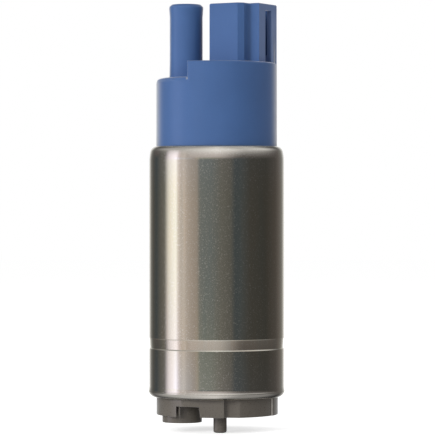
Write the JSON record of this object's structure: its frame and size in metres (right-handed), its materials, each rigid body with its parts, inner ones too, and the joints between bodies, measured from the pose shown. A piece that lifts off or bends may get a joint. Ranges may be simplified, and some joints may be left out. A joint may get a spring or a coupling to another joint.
{
  "type": "electric fuel pump",
  "caption": "Round in-tank turbine fuel pump: crimped steel shell, grey inlet cover with strainer pin, blue outlet cap with hose pipe and plug socket, motor and impeller inside.",
  "frame": {"origin": "on the pump's axis, level with the tip of the strainer pin, which is the lowest point", "axes": "+Z along the pump's axis from the inlet to the outlet, +X to the right as the strainer pin faces the viewer, +Y away from the viewer"},
  "size_m": [0.0384, 0.0384, 0.1199],
  "materials": {
    "shell_steel": "drawn and plated, bright",
    "cover_plastic": "moulded, matte grey",
    "cap_plastic": "moulded, matte blue",
    "sintered_bronze": "sintered",
    "impeller_plastic": "moulded phenolic",
    "shaft_steel": "ground",
    "core_steel": "stacked laminations",
    "copper": "bare copper",
    "ferrite": "pressed ferrite",
    "spring_steel": "drawn wire",
    "terminal_brass": "tinned brass",
    "carbon": "pressed carbon",
    "valve_plastic": "moulded, natural"
  },
  "bodies": {
    "pump_body": {"shell": "shell_steel", "inlet_cover": "cover_plastic", "pump_casing": "cover_plastic", "lower_bearing": "sintered_bronze", "magnet_left": "ferrite", "magnet_right": "ferrite", "magnet_clips": "spring_steel", "upper_bearing": "sintered_bronze", "outlet_cover": "cap_plastic", "terminal_front": "terminal_brass", "terminal_rear": "terminal_brass", "brush_spring_front": "spring_steel", "brush_spring_rear": "spring_steel", "outlet_valve_spring": "spring_steel", "outlet_valve_retainer": "valve_plastic"},
    "rotor": {"shaft": "shaft_steel", "impeller": "impeller_plastic", "armature_core": "core_steel", "armature_windings": "copper", "commutator_hub": "impeller_plastic", "commutator_segments": "copper"},
    "front_brush": {"brush_front": "carbon"},
    "rear_brush": {"brush_rear": "carbon"},
    "outlet_valve": {"outlet_valve_poppet": "valve_plastic"}
  },
  "joints": [
    {"name": "rotor_spin", "type": "hinge", "parent": "pump_body", "child": "rotor", "pos_m": [0, 0, 0.044], "axis": [0, 0, 1], "continuous": true},
    {"name": "front_brush_slide", "type": "slide", "parent": "pump_body", "child": "front_brush", "axis": [0, 0, 1], "range_m": [0, 0.002], "stiffness_N_per_m": 60, "springref_m": -0.01, "deforming": ["brush_spring_front"]},
    {"name": "rear_brush_slide", "type": "slide", "parent": "pump_body", "child": "rear_brush", "axis": [0, 0, 1], "range_m": [0, 0.002], "stiffness_N_per_m": 60, "springref_m": -0.01, "deforming": ["brush_spring_rear"]},
    {"name": "outlet_valve_lift", "type": "slide", "parent": "pump_body", "child": "outlet_valve", "axis": [0, 0, 1], "range_m": [0, 0.002], "stiffness_N_per_m": 80, "springref_m": -0.004, "deforming": ["outlet_valve_spring"]}
  ]
}
